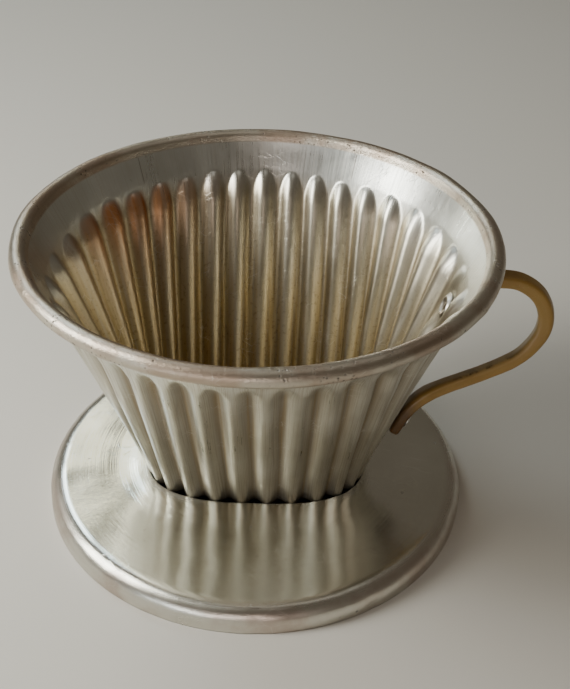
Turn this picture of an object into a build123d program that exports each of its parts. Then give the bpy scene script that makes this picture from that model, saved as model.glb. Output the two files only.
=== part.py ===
from build123d import *
import math
import os

# Pressed aluminium pour-over filter holder: fluted cone on a saucer, riveted
# plastic loop handle.  Millimetres, +Z up, origin on the cone's axis in the
# plane the saucer stands on, handle towards +X.

# ---------------------------------------------------------------- dimensions
SHEET = 1.0               # aluminium sheet thickness

BEAD_R = 2.0              # outside radius of the rolled rim
BEAD_RC = 54.0            # radius of the rolled rim's centre circle
BEAD_Z = 73.2             # height of the rolled rim's centre circle
BEAD_WRAP = 285.0         # how far round the sheet is curled, degrees

FLUTES = 36
FLUTE_DEPTH = 2.1         # depth of a full flute, crest to valley
CREST_TIGHTEST = 0.85     # smallest bend radius the flutes are pressed to
OVAL_Z = 7.0              # level at which the oval below is given
OVAL_A = 27.9             # half length of the oval over the crests
OVAL_B = 18.4             # half width of the oval over the crests
OVAL_N = 2.8              # superellipse exponent of the oval
TOP_Z = 66.0              # level where the flutes have run out into the round
TOP_R = 49.4              # outside radius there
FLUTE_TOP_Z = 65.6        # tip of the arched flute ends
FLUTE_ARCH = 6.0          # height over which an arched end rises to full depth
WALL_BOTTOM_Z = 3.2       # underside of the fluted wall

# azimuth of each flute from the Y axis, at the top (degrees), and the place of
# each along the oval's quarter arc at the bottom (fraction of the quarter)
TOP_DEG = [0.0, 8.3, 16.7, 25.3, 34.3, 43.9, 54.3, 65.6, 77.6, 90.0]
LOW_ARC = [0.0, 0.1645, 0.330, 0.497, 0.640, 0.750, 0.834, 0.899, 0.952, 1.0]

FLANGE_OUT = 1.55         # crimped fold that holds the saucer, beyond the wall
FLANGE_Z0 = 1.3           # underside of fold and floor
FLOOR_T = 1.0
DRAIN_R = 1.5
DRAIN_X = [-13.5, -4.5, 4.5, 13.5]

PLATE_R = 53.7            # saucer outside radius
PLATE_EDGE_H = 6.5        # height of its turned-down edge
PLATE_EDGE_R = 4.6        # outside radius of that edge's bend
PLATE_RISE = 8.0          # the web rises gently over this last stretch
SLOT_GAP = 0.25           # clear gap between crests and the opening's edge
SLOT_Z = 7.3              # height of the web at the opening
LIP_R = 0.45              # outside radius of the edge where it turns down
COLLAR_Z = 3.35           # bottom of the collar turned down at the opening

STRAP_T = 3.1             # handle section, through the loop
STRAP_W = 4.6             # handle section, across the loop
STRAP_RND = 1.1           # rounding of its edges
UPPER_AZ = -2.0           # azimuth of the upper rivet, degrees
UPPER_Z = 56.0            # height of the upper rivet
LOWER_AZ = -12.0
LOWER_Z = 28.4
PAD_R = 6.0               # flutes are pressed flat within this radius of a rivet
FOOT_T = 2.6              # the strap's feet are flatter and wider
FOOT_W = 6.4
RIVET_R = 1.2             # rivet shank
RIVET_HEAD_R = 3.4        # low domed head inside the cone
RIVET_HEAD_H = 0.9
RIVET_CLENCH_R = 2.2      # upset end outside the handle's foot
RIVET_CLENCH_H = 0.7
FIT = 0.03                # clear gap between pieces that touch

os.makedirs("parts", exist_ok=True)


# ---------------------------------------------------- the fluted cone's shape
def quarter_table():
    """Arc length along a quarter of the oval, from the Y axis to the X axis."""
    pts = []
    for i in range(401):
        t = math.pi / 2 * i / 400
        x = OVAL_A * max(math.sin(t), 0.0) ** (2 / OVAL_N)
        y = OVAL_B * max(math.cos(t), 0.0) ** (2 / OVAL_N)
        pts.append((x, y))
    arc = [0.0]
    for p, q in zip(pts, pts[1:]):
        arc.append(arc[-1] + math.hypot(q[0] - p[0], q[1] - p[1]))
    return pts, arc


QUARTER, ARC = quarter_table()


def smooth_table(table, u):
    """Monotone cubic through table at 0..9, mirrored beyond both ends."""
    n = len(table) - 1

    def at(i):
        if i < 0:
            return 2 * table[0] - table[-i]
        if i > n:
            return 2 * table[n] - table[2 * n - i]
        return table[i]

    i = min(int(math.floor(u)), n - 1)
    f = u - i
    p0, p1, p2, p3 = at(i - 1), at(i), at(i + 1), at(i + 2)
    m1, m2 = (p2 - p0) / 2, (p3 - p1) / 2
    return (
        p1 * (1 + 2 * f) * (1 - f) ** 2
        + m1 * f * (1 - f) ** 2
        + p2 * f * f * (3 - 2 * f)
        + m2 * f * f * (f - 1)
    )


def oval_point(frac):
    s = frac * ARC[-1]
    lo, hi = 0, len(ARC) - 1
    while hi - lo > 1:
        mid = (lo + hi) // 2
        if ARC[mid] <= s:
            lo = mid
        else:
            hi = mid
    f = (s - ARC[lo]) / (ARC[hi] - ARC[lo])
    return (
        QUARTER[lo][0] + f * (QUARTER[hi][0] - QUARTER[lo][0]),
        QUARTER[lo][1] + f * (QUARTER[hi][1] - QUARTER[lo][1]),
    )


def crest_xy(u, z):
    """Smooth outside surface over the flute crests.  u runs 0..36 from +Y
    clockwise to +X, -Y, -X: one unit a flute."""
    u = u % FLUTES
    q = int(u // 9)
    v = u - 9 * q
    if q % 2:
        v = 9 - v
    deg = smooth_table(TOP_DEG, v)
    tx, ty = TOP_R * math.sin(math.radians(deg)), TOP_R * math.cos(math.radians(deg))
    bx, by = oval_point(min(max(smooth_table(LOW_ARC, v), 0.0), 1.0))
    f = (z - OVAL_Z) / (TOP_Z - OVAL_Z)
    x, y = bx + (tx - bx) * f, by + (ty - by) * f
    sx = 1 if q in (0, 1) else -1
    sy = 1 if q in (0, 3) else -1
    return sx * x, sy * y


def pitch_at(u, z):
    a, b = crest_xy(u - 0.5, z), crest_xy(u + 0.5, z)
    return math.hypot(b[0] - a[0], b[1] - a[1])


def rivet_point(az, z):
    """Point on the crest surface at an azimuth from +X."""
    lo, hi = 4.0, 14.0
    for _ in range(50):
        mid = (lo + hi) / 2
        x, y = crest_xy(mid, z)
        if math.degrees(math.atan2(y, x)) > az:
            lo = mid
        else:
            hi = mid
    return crest_xy((lo + hi) / 2, z)


PADS = [
    (*rivet_point(UPPER_AZ, UPPER_Z), UPPER_Z),
    (*rivet_point(LOWER_AZ, LOWER_Z), LOWER_Z),
]


def flute_depth(u, z):
    """Depth of the pressed valley at u (integers are valleys)."""
    p = pitch_at(u, z)
    half = (p / (2 * math.pi)) ** 2 / CREST_TIGHTEST
    full = FLUTE_DEPTH / 2
    half = full * half / (half**4 + full**4) ** 0.25
    wave = 0.5 + 0.5 * math.cos(2 * math.pi * u)
    v = max(0.0, min(1.0, (FLUTE_TOP_Z - z) / FLUTE_ARCH))
    rise = math.sqrt(max(0.0, 1 - (1 - v) ** 2))
    s = wave - (1 - rise)
    s = 0.5 * (s + math.sqrt(s * s + 0.006)) if rise < 1 else wave
    x, y = crest_xy(u, z)
    fade = 1.0
    for px, py, pz in PADS:
        d = math.dist((x, y, z), (px, py, pz)) / PAD_R
        fade *= 1 - math.exp(-(d**4))
    return 2 * half * s * fade * (1.0 if z < FLUTE_TOP_Z else 0.0)


def wall_section(z, offset, per=6):
    """Closed outline of the wall at a level; offset is measured inwards from
    the outside surface, square to the outline."""
    n = FLUTES * per
    mid = []
    for i in range(n):
        u = i / per
        a, b = crest_xy(u - 0.02, z), crest_xy(u + 0.02, z)
        tx, ty = b[0] - a[0], b[1] - a[1]
        ln = math.hypot(tx, ty)
        x, y = crest_xy(u, z)
        d = flute_depth(u, z) + 0.55 * SHEET
        mid.append((x - d * -ty / ln, y - d * tx / ln))
    out = []
    for i in range(n):
        a, b = mid[i - 1], mid[(i + 1) % n]
        tx, ty = b[0] - a[0], b[1] - a[1]
        ln = math.hypot(tx, ty)
        d = offset - 0.55 * SHEET
        out.append((mid[i][0] - d * -ty / ln, mid[i][1] - d * tx / ln))
    return out


LOW_LEVELS = [WALL_BOTTOM_Z, 12.0, 20.5, 25.0, 28.4, 32.0, 37.0, 48.5, 53.0, 58.0]
TOP_LEVELS = [58.0, 60.2, 61.8, 63.4, 64.6, 65.3, TOP_Z]
SPANS = 36                # every outline of the wall is this many splines
SEC = 1.10 * SHEET        # sheet thickness seen in a level section


def oval_outline(grow, z, n=72):
    """Smooth oval outside the crests by grow at level z."""
    pts = []
    for i in range(n):
        u = i * FLUTES / n
        a, b = crest_xy(u - 0.3, z), crest_xy(u + 0.3, z)
        tx, ty = b[0] - a[0], b[1] - a[1]
        ln = math.hypot(tx, ty)
        x, y = crest_xy(u, z)
        pts.append((x + grow * -ty / ln, y + grow * tx / ln))
    return pts



def skin(wires):
    """Ruled faces through a stack of outlines, without end caps."""
    return [f for f in Solid.make_loft(wires, True).faces() if f.geom_type != GeomType.PLANE]


def piece_wire(pts, z, n, per, start=0):
    """Closed outline of n splines with a common tangent where they meet."""
    m = len(pts)

    def along(i):
        a, b = pts[(i - 1) % m], pts[(i + 1) % m]
        return Vector(b[0] - a[0], b[1] - a[1], 0).normalized()

    edges = []
    for k in range(n):
        ids = [(start + k * per + j) % m for j in range(per + 1)]
        edges.append(
            Edge.make_spline([Vector(*pts[i], z) for i in ids], tangents=[along(ids[0]), along(ids[-1])])
        )
    return Wire(edges)


def wall_wire(z, offset, per=4):
    """Outline of the wall at a level."""
    return piece_wire(wall_section(z, offset, per), z, SPANS, FLUTES * per // SPANS)


def span_azimuth(k):
    """Azimuth from +X, in degrees, of the joint between spans k - 1 and k."""
    x, y = crest_xy(k * FLUTES / SPANS, TOP_Z)
    return math.degrees(math.atan2(y, x))


def round_wire(radius, z):
    """Circle of arcs that meet where the wall's spans meet."""
    edges = []
    for k in range(SPANS):
        a, b = span_azimuth(k), span_azimuth(k + 1)
        b = b - 360 if b > a else b
        ends = [
            Vector(radius * math.cos(math.radians(d)), radius * math.sin(math.radians(d)), z)
            for d in (a, (a + b) / 2, b)
        ]
        edges.append(Edge.make_three_point_arc(*ends))
    return Wire(edges)


def turned(edges):
    """Faces swept by profile edges round the axis, one for each span."""
    faces = []
    for k in range(SPANS):
        a, b = span_azimuth(k), span_azimuth(k + 1)
        b = b - 360 if b > a else b
        faces += [Face.revolve(e.rotate(Axis.Z, b), a - b, Axis.Z) for e in edges]
    return faces


def fold_wire(grow, z, per=4):
    """Smooth oval outline round the foot of the wall."""
    return piece_wire(oval_outline(grow, WALL_BOTTOM_Z, FLUTES * per), z, SPANS, FLUTES * per // SPANS)


def wall_frame(point):
    """Plane on the crest surface at a pad, z_dir square to the wall, outwards."""
    px, py, pz = point
    lo, hi = 4.0, 14.0
    for _ in range(50):
        mid = (lo + hi) / 2
        x, y = crest_xy(mid, pz)
        if math.atan2(y, x) > math.atan2(py, px):
            lo = mid
        else:
            hi = mid
    u = (lo + hi) / 2
    a, b = Vector(*crest_xy(u + 0.1, pz), pz), Vector(*crest_xy(u - 0.1, pz), pz)
    down, up = Vector(*crest_xy(u, pz - 0.5), pz - 0.5), Vector(*crest_xy(u, pz + 0.5), pz + 0.5)
    across = (b - a).normalized()
    normal = across.cross((up - down).normalized()).normalized()
    if normal.dot(Vector(px, py, 0)) < 0:
        normal = -normal
    return Plane(origin=Vector(*point), x_dir=across, z_dir=normal)


UPPER, LOWER = (wall_frame(p) for p in PADS)

# ---------------------------------------------------------------- filter cone
band_z = TOP_Z
band_r = TOP_R
CURL_START = 158.0
CURL_END = CURL_START - BEAD_WRAP
CURL_IN = BEAD_R - SHEET
FLOOR_Z = FLANGE_Z0 + FLOOR_T


def on_bead(radius, deg):
    """Point round the rolled rim; 0 is outwards, 90 is up."""
    return (
        BEAD_RC + radius * math.cos(math.radians(deg)),
        BEAD_Z + radius * math.sin(math.radians(deg)),
    )


def rim_profile(start_r, bead_r):
    """Edges of one side of the sheet, from the top of the flutes over the
    smooth band and round the curl, in the XZ plane."""
    way = (math.sin(math.radians(CURL_START)), -math.cos(math.radians(CURL_START)))
    turn = BEAD_WRAP / 4
    p = [Vector(r, 0, z) for r, z in (on_bead(bead_r, CURL_START - turn * i) for i in range(5))]
    return [
        Edge.make_spline(
            [Vector(start_r, 0, band_z), p[0]],
            tangents=[Vector(0.43, 0, 0.90), Vector(way[0], 0, way[1])],
        ),
        Edge.make_three_point_arc(p[0], p[1], p[2]),
        Edge.make_three_point_arc(p[2], p[3], p[4]),
    ]


wall_out = [wall_wire(z, 0.0) for z in LOW_LEVELS]
wall_in = [wall_wire(z, SEC) for z in [FLOOR_Z, *LOW_LEVELS[1:]]]
arch_out = [wall_out[-1], *[wall_wire(z, 0.0) for z in TOP_LEVELS[1:-1]], round_wire(band_r, band_z)]
arch_in = [wall_in[-1], *[wall_wire(z, SEC) for z in TOP_LEVELS[1:-1]], round_wire(band_r - SEC, band_z)]
rim_out = rim_profile(band_r, CURL_IN)
rim_in = rim_profile(band_r - SEC, BEAD_R)
curl_end = Edge.make_line(rim_out[-1] @ 1, rim_in[-1] @ 1)
fold = [
    fold_wire(FLANGE_OUT - 0.35, WALL_BOTTOM_Z),
    fold_wire(FLANGE_OUT - 0.08, WALL_BOTTOM_Z - 0.3),
    fold_wire(FLANGE_OUT, (WALL_BOTTOM_Z + FLANGE_Z0) / 2),
    fold_wire(FLANGE_OUT - 0.12, FLANGE_Z0 + 0.3),
    fold_wire(FLANGE_OUT - 0.5, FLANGE_Z0),
]
cone_faces = [
    *skin(wall_out),
    *skin(wall_in),
    *skin(arch_out),
    *skin(arch_in),
    *turned([*rim_out, *rim_in, curl_end]),
    Face(fold[0], [wall_out[0]]),
    *skin(fold),
    Face(fold[-1]),
    Face(wall_in[0]),
]

with BuildPart() as filter_cone:
    add(Solid(Shell(cone_faces)))
    with BuildSketch(Plane.XY.offset(FLOOR_Z + 0.5)):
        with Locations(*[(x, 0) for x in DRAIN_X]):
            Circle(DRAIN_R)
    extrude(amount=-2 * FLOOR_T, mode=Mode.SUBTRACT)
    # rivet holes, square to the wall
    for frame in (UPPER, LOWER):
        with BuildSketch(frame.offset(2)):
            Circle(RIVET_R + FIT)
        extrude(amount=-6, mode=Mode.SUBTRACT)
filter_cone.part.label = "filter_cone"
export_step(filter_cone.part, "parts/filter_cone.step")


# ----------------------------------------------------------------- base plate
def saucer_wire(blend, radius, grow, level, z, n=12, per=6):
    """Outline between a circle (blend 0) and the grown oval (blend 1)."""
    oval = oval_outline(grow, level, n * per)
    pts = []
    for i in range(n * per):
        a = math.atan2(oval[i][0], oval[i][1])
        c = 2 * math.pi * i / (n * per)
        # the circle's points fan evenly, and ease into the oval's spread
        cx, cy = radius * math.sin(c), radius * math.cos(c)
        pts.append((cx + (oval[i][0] - cx) * blend, cy + (oval[i][1] - cy) * blend))
    return piece_wire(pts, z, n, per)


edge_rc = PLATE_R - PLATE_EDGE_R
edge_zc = PLATE_EDGE_H - PLATE_EDGE_R
UNDER = PLATE_EDGE_H - SHEET


def edge_profile(inset):
    """One side of the turned-down edge, from its foot to the flat web."""
    r = PLATE_EDGE_R - inset
    p = [
        Vector(edge_rc + r * math.cos(math.radians(d)), 0, edge_zc + r * math.sin(math.radians(d)))
        for d in (0, 45, 90)
    ]
    return [Edge.make_line(Vector(PLATE_R - inset, 0, 0), p[0]), Edge.make_three_point_arc(*p)]


def opening_wires(rows):
    """Outlines round the opening from (distance outside the crests, height)."""
    return [saucer_wire(1, 0, grow, z if z < 5.5 else SLOT_Z, z) for grow, z in rows]


top_side = opening_wires([
    (PLATE_RISE, PLATE_EDGE_H),
    (5.0, PLATE_EDGE_H + 0.25),
    (2.4, PLATE_EDGE_H + 0.62),
    (SLOT_GAP + LIP_R, SLOT_Z),
    (SLOT_GAP + 0.29 * LIP_R, SLOT_Z - 0.29 * LIP_R),
    (SLOT_GAP, SLOT_Z - LIP_R),
    (SLOT_GAP + 0.1, 5.2),
    (SLOT_GAP + 0.1, COLLAR_Z),
])
under_side = opening_wires([
    (PLATE_RISE, UNDER),
    (5.0, UNDER + 0.25),
    (2.4, UNDER + 0.62),
    (SLOT_GAP + SHEET + 0.15, SLOT_Z - SHEET),
    (SLOT_GAP + SHEET, SLOT_Z - SHEET - 0.15),
    (SLOT_GAP + 0.1 + SHEET, 5.2),
    (SLOT_GAP + 0.1 + SHEET, COLLAR_Z),
])


def ring_at(radius, z):
    return Wire([Edge.make_circle(radius, Plane.XY.offset(z))])


plate_faces = [
    *[Face.revolve(e, 360, Axis.Z) for inset in (0, SHEET) for e in edge_profile(inset)],
    Face(ring_at(PLATE_R, 0), [ring_at(PLATE_R - SHEET, 0)]),
    Face(ring_at(edge_rc, PLATE_EDGE_H), [top_side[0]]),
    Face(ring_at(edge_rc, UNDER), [under_side[0]]),
    *skin(top_side),
    *skin(under_side),
    Face(under_side[-1], [top_side[-1]]),
]

with BuildPart() as base_plate:
    add(Solid(Shell(plate_faces)))
base_plate.part.label = "base_plate"
export_step(base_plate.part, "parts/base_plate.step")


# --------------------------------------------------------------------- handle
# centre line of the strap, with its thickness, width and roll at each point;
# both feet lie on the crest surface
def foot_point(frame, along_wall, lift):
    up = frame.z_dir.cross(frame.x_dir)
    if up.Z < 0:
        up = -up
    return frame.origin + up * along_wall + frame.z_dir * lift


foot_lift = FOOT_T / 2 + 0.25
u_end, u_mid, u_top = (foot_point(UPPER, d, foot_lift) for d in (-5.0, 0.0, 3.2))
l_top, l_mid, l_end = (foot_point(LOWER, d, foot_lift) for d in (2.6, 0.0, -4.6))
STATIONS = [
    (u_end, FOOT_T, FOOT_W, 0),
    (foot_point(UPPER, -2.5, foot_lift), FOOT_T, FOOT_W, 0),
    (u_mid, FOOT_T, FOOT_W, 0),
    (u_top, FOOT_T + 0.1, FOOT_W - 0.3, 0),
    (Vector(50.5, -1.65, 62.3), 2.9, 5.5, 0),
    (Vector(53.4, -1.65, 64.2), 3.1, 5.0, 0),
    (Vector(57.1, -1.7, 64.6), 3.2, 4.7, 0),
    (Vector(60.2, -1.8, 64.3), 3.2, STRAP_W, 0),
    (Vector(63.3, -2.0, 63.2), 3.2, STRAP_W, 1),
    (Vector(65.9, -2.2, 61.1), 3.2, STRAP_W, 2),
    (Vector(67.8, -2.5, 58.0), 3.2, STRAP_W, 3),
    (Vector(68.5, -2.8, 54.8), 3.2, STRAP_W, 4),
    (Vector(68.1, -3.3, 51.4), 3.2, STRAP_W, 6),
    (Vector(66.3, -3.9, 48.0), STRAP_T, STRAP_W, 8),
    (Vector(63.0, -4.6, 44.8), STRAP_T, STRAP_W, 10),
    (Vector(58.2, -5.4, 42.1), STRAP_T, STRAP_W, 11),
    (Vector(53.1, -6.1, 39.9), STRAP_T, STRAP_W, 11),
    (Vector(48.2, -6.7, 38.0), STRAP_T, STRAP_W, 10),
    (Vector(44.2, -7.2, 36.3), STRAP_T, 5.0, 8),
    (Vector(41.4, -7.5, 34.7), 3.0, 5.6, 4),
    (l_top + Vector(0.25, 0, 0), 2.75, FOOT_W - 0.3, 1),
    (l_mid, FOOT_T, FOOT_W, 0),
    (foot_point(LOWER, -2.4, foot_lift), FOOT_T, FOOT_W, 0),
    (l_end, FOOT_T, FOOT_W, 0),
]


def strap_frame(i):
    a, b = STATIONS[max(i - 1, 0)][0], STATIONS[min(i + 1, len(STATIONS) - 1)][0]
    if i == 0:
        a = STATIONS[0][0]
    way = (b - a).normalized()
    t = i / (len(STATIONS) - 1)
    width = UPPER.x_dir * (1 - t) + LOWER.x_dir * t
    width = (width - way * width.dot(way)).normalized()
    width = width.rotate(Axis((0, 0, 0), tuple(way)), STATIONS[i][3])
    return Plane(origin=STATIONS[i][0], x_dir=width, z_dir=way)


with BuildPart() as handle:
    for i, (_, thick, wide, _) in enumerate(STATIONS):
        with BuildSketch(strap_frame(i)):
            RectangleRounded(wide, thick, STRAP_RND)
    loft()
    for frame in (UPPER, LOWER):
        with BuildSketch(frame.offset(-2)):
            Circle(RIVET_R + FIT)
        extrude(amount=8, mode=Mode.SUBTRACT)
handle.part.label = "handle"
export_step(handle.part, "parts/handle.step")


# --------------------------------------------------------------------- rivets
grip_in = -(SHEET + 0.2)
grip_out = FOOT_T + 0.25 + 0.06



def cap_mid(radius, rise):
    """Point half way round a spherical cap, as (radius, height) from its rim."""
    ball = (radius**2 + rise**2) / (2 * rise)
    half = math.asin(radius / ball) / 2
    return ball * math.sin(half), rise - ball + ball * math.cos(half)


def rivet_profile(frame):
    """Half section of a rivet in the plane through its axis."""
    head_z, clench_z = grip_in - 0.2, grip_out + 0.15
    head_m, clench_m = cap_mid(RIVET_HEAD_R, RIVET_HEAD_H - 0.2), cap_mid(RIVET_CLENCH_R, RIVET_CLENCH_H - 0.15)
    top, bottom = (0, grip_out + RIVET_CLENCH_H), (0, grip_in - RIVET_HEAD_H)
    side = Plane(origin=frame.origin, x_dir=frame.x_dir, z_dir=frame.x_dir.cross(frame.z_dir))
    with BuildSketch(side) as profile:
        with BuildLine():
            Line(bottom, top)
            ThreePointArc(top, (clench_m[0], clench_z + clench_m[1]), (RIVET_CLENCH_R, clench_z))
            Polyline(
                (RIVET_CLENCH_R, clench_z),
                (RIVET_CLENCH_R, grip_out),
                (RIVET_R, grip_out),
                (RIVET_R, grip_in),
                (RIVET_HEAD_R, grip_in),
                (RIVET_HEAD_R, head_z),
            )
            ThreePointArc((RIVET_HEAD_R, head_z), (head_m[0], head_z - head_m[1]), bottom)
        make_face()
    return profile


with BuildPart() as upper_rivet:
    add(rivet_profile(UPPER).sketch)
    revolve(axis=Axis(UPPER.origin, UPPER.z_dir))
upper_rivet.part.label = "handle_rivet_upper"
export_step(upper_rivet.part, "parts/handle_rivet_upper.step")

with BuildPart() as lower_rivet:
    add(rivet_profile(LOWER).sketch)
    revolve(axis=Axis(LOWER.origin, LOWER.z_dir))
lower_rivet.part.label = "handle_rivet_lower"
export_step(lower_rivet.part, "parts/handle_rivet_lower.step")

for piece in (filter_cone, base_plate, handle, upper_rivet, lower_rivet):
    box = piece.part.bounding_box()
    print(piece.part.label, len(piece.part.solids()), round(piece.part.volume, 1), piece.part.is_valid, box.min, box.max)
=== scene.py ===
import math

import bpy
import numpy as np
from mathutils import Matrix, Vector


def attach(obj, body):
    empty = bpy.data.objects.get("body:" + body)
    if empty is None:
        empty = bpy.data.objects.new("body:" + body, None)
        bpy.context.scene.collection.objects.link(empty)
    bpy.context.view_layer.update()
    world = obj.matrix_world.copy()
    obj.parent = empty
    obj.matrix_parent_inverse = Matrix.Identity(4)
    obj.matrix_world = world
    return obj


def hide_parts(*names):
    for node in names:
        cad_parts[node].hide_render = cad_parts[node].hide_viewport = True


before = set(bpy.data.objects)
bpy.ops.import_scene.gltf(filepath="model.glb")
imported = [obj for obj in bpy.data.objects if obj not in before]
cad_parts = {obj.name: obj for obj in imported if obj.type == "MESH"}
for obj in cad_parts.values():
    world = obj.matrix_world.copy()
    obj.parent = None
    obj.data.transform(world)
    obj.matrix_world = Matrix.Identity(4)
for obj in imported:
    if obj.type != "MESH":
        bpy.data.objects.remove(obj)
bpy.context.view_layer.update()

# Millimetres here, metres in the meshes.  Same frame as the CAD: +Z up, origin
# on the cone's axis in the plane the saucer stands on, handle towards +X.
MM = 0.001
TAU = 2 * math.pi
SHEET = 1.0
BEAD_R, BEAD_RC, BEAD_Z = 2.0, 54.0, 73.2
FLUTES, FLUTE_DEPTH, LOW_DEPTH, CREST_TIGHTEST = 36, 2.15, 2.9, 0.60
OVAL_Z, OVAL_A, OVAL_B, OVAL_N = 7.0, 27.9, 18.4, 2.8
TOP_Z, TOP_R = 66.0, 49.4
FLUTE_TOP_Z, FLUTE_ARCH = 65.9, 6.0
TOP_DEG = [0.0, 8.3, 16.7, 25.3, 34.3, 43.9, 54.3, 65.6, 77.6, 90.0]
LOW_ARC = [0.0, 0.1645, 0.330, 0.497, 0.640, 0.750, 0.834, 0.899, 0.952, 1.0]
PLATE_R, PLATE_EDGE_H, PLATE_EDGE_R = 53.7, 6.5, 4.6
PLATE_RISE, SLOT_GAP, SLOT_Z, COLLAR_Z = 8.0, 0.03, 7.3, 3.35
FLANGE_OUT, FLANGE_Z0 = 1.55, 1.3


# ------------------------------------------------------------ the cone's shape
def smooth_table(table, v):
    n = len(table) - 1
    ext = np.array([2 * table[0] - table[1], *table, 2 * table[n] - table[n - 1]])
    i = np.minimum(np.floor(v).astype(int), n - 1)
    f = v - i
    p0, p1, p2, p3 = ext[i], ext[i + 1], ext[i + 2], ext[i + 3]
    m1, m2 = (p2 - p0) / 2, (p3 - p1) / 2
    return p1 * (1 + 2 * f) * (1 - f) ** 2 + m1 * f * (1 - f) ** 2 + p2 * f * f * (3 - 2 * f) + m2 * f * f * (f - 1)


_t = np.linspace(0, math.pi / 2, 801)
_qx = OVAL_A * np.sin(_t) ** (2 / OVAL_N)
_qy = OVAL_B * np.clip(np.cos(_t), 0, 1) ** (2 / OVAL_N)
_arc = np.concatenate([[0], np.cumsum(np.hypot(np.diff(_qx), np.diff(_qy)))])
_arc /= _arc[-1]


def crest(u, z):
    """Smooth surface over the outside of the flutes; u 0..36 clockwise from +Y."""
    u = np.asarray(u, float) % FLUTES
    q = (u // 9).astype(int)
    v = u - 9 * q
    v = np.where(q % 2 == 1, 9 - v, v)
    deg = np.radians(smooth_table(TOP_DEG, v))
    tx, ty = TOP_R * np.sin(deg), TOP_R * np.cos(deg)
    a = np.clip(smooth_table(LOW_ARC, v), 0, 1)
    bx, by = np.interp(a, _arc, _qx), np.interp(a, _arc, _qy)
    f = (z - OVAL_Z) / (TOP_Z - OVAL_Z)
    sx = np.where((q == 0) | (q == 1), 1.0, -1.0)
    sy = np.where((q == 0) | (q == 3), 1.0, -1.0)
    return sx * (bx + (tx - bx) * f), sy * (by + (ty - by) * f)


def on_wall(az, z):
    """u of the crest surface at an azimuth from +X."""
    lo, hi = 4.0, 14.0
    for _ in range(50):
        mid = (lo + hi) / 2
        x, y = crest(mid, z)
        if math.degrees(math.atan2(y, x)) > az:
            lo = mid
        else:
            hi = mid
    return (lo + hi) / 2


PADS = []
for _az, _z in ((-2.0, 56.0), (-12.0, 28.4)):
    _x, _y = crest(on_wall(_az, _z), _z)
    PADS.append((float(_x), float(_y), _z))

rng = np.random.default_rng(20)
flute_gain = 1 + 0.05 * rng.standard_normal(FLUTES).clip(-1.5, 1.5)
flute_top = 0.30 * rng.standard_normal(FLUTES).clip(-1.5, 1.5)
# the pressing sits a little askew to the rim: higher on the side away from +Y
flute_top += 0.95 * np.clip(-np.cos(TAU * np.arange(FLUTES) / FLUTES) * 1.6, -0.1, 1)
flute_lean = 0.02 * rng.standard_normal((FLUTES, 2)).clip(-1.5, 1.5)


def around(table, u):
    """Value of a per-flute table, eased from flute to flute."""
    u = np.asarray(u, float) % FLUTES
    i = np.floor(u + 0.5).astype(int) % FLUTES
    f = (u + 0.5) % 1.0
    j = np.where(f < 0.5, (i - 1) % FLUTES, (i + 1) % FLUTES)
    w = 0.5 * (1 - np.clip(np.abs(f - 0.5) * 2 - 0.4, 0, 0.6) / 0.6 * 1.0)
    w = 1 - np.clip((np.abs(f - 0.5) - 0.3) / 0.4, 0, 0.5)
    return table[i] * w + table[j] * (1 - w)


def flute_depth(u, z):
    """(depth, wave, rise): depth of the pressed valley, its 0..1 wave, and how
    far the flute has risen out of its arched end."""
    ax, ay = crest(u - 0.5, z)
    bx, by = crest(u + 0.5, z)
    p = np.hypot(bx - ax, by - ay)
    half = (p / TAU) ** 2 / CREST_TIGHTEST
    full = (LOW_DEPTH + (FLUTE_DEPTH - LOW_DEPTH) * np.clip((z - 3) / 34, 0, 1) - 0.45 * np.clip((9.5 - z) / 4, 0, 1)) / 2
    half = full * half / (half**4 + full**4) ** 0.25
    h = np.clip(z / TOP_Z, 0, 1)
    drift = around(flute_lean[:, 0], u) * (1 - h) + around(flute_lean[:, 1], u) * h
    wave = 0.5 + 0.5 * np.cos(TAU * (u + drift))
    v = np.clip((FLUTE_TOP_Z + around(flute_top, u) - z) / FLUTE_ARCH, 0, 1)
    rise = 0.6 * v * (2 - v) + 0.4 * np.sqrt(np.clip(1 - (1 - v) ** 2, 0, 1)) * np.clip(v / 0.12, 0, 1)
    s = wave - (1 - rise)
    s = 0.5 * (s + np.sqrt(s * s + 0.005)) - 0.035 * (1 - rise)
    s = np.clip(s, 0, None)
    x, y = crest(u, z)
    fade = np.ones_like(x + z)
    for (px, py, pz), up in zip(PADS, (18.0, 7.0)):
        # the wall is beaten flat round a rivet, and above the upper one up to the band
        d = np.sqrt(((x - px) ** 2 + (y - py) ** 2) / 5.4**2 + ((z - pz) / np.where(z > pz, up, 7.0)) ** 2)
        fade = fade * (1 - np.exp(-(d**4)))
    return 2 * half * s * fade * around(flute_gain, u), wave, rise * fade


def outward(u, z):
    ax, ay = crest(u - 0.02, z)
    bx, by = crest(u + 0.02, z)
    tx, ty = bx - ax, by - ay
    ln = np.hypot(tx, ty)
    return -ty / ln, tx / ln


def grid_normals(P):
    du = np.roll(P, -1, axis=1) - np.roll(P, 1, axis=1)
    dv = np.gradient(P, axis=0)
    n = np.cross(dv, du)
    return n / np.maximum(np.linalg.norm(n, axis=2, keepdims=True), 1e-12)


def lumps(X, Y, Z, seed, scale, count=24):
    """Smooth random field, about -1..1, features about scale mm across."""
    r = np.random.default_rng(seed)
    out = np.zeros_like(X)
    for _ in range(count):
        d = r.standard_normal(3)
        d /= np.linalg.norm(d)
        k = TAU / scale * r.uniform(0.5, 1.6)
        out += np.sin(k * (d[0] * X + d[1] * Y + d[2] * Z) + r.uniform(0, TAU))
    return out / math.sqrt(count)


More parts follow.
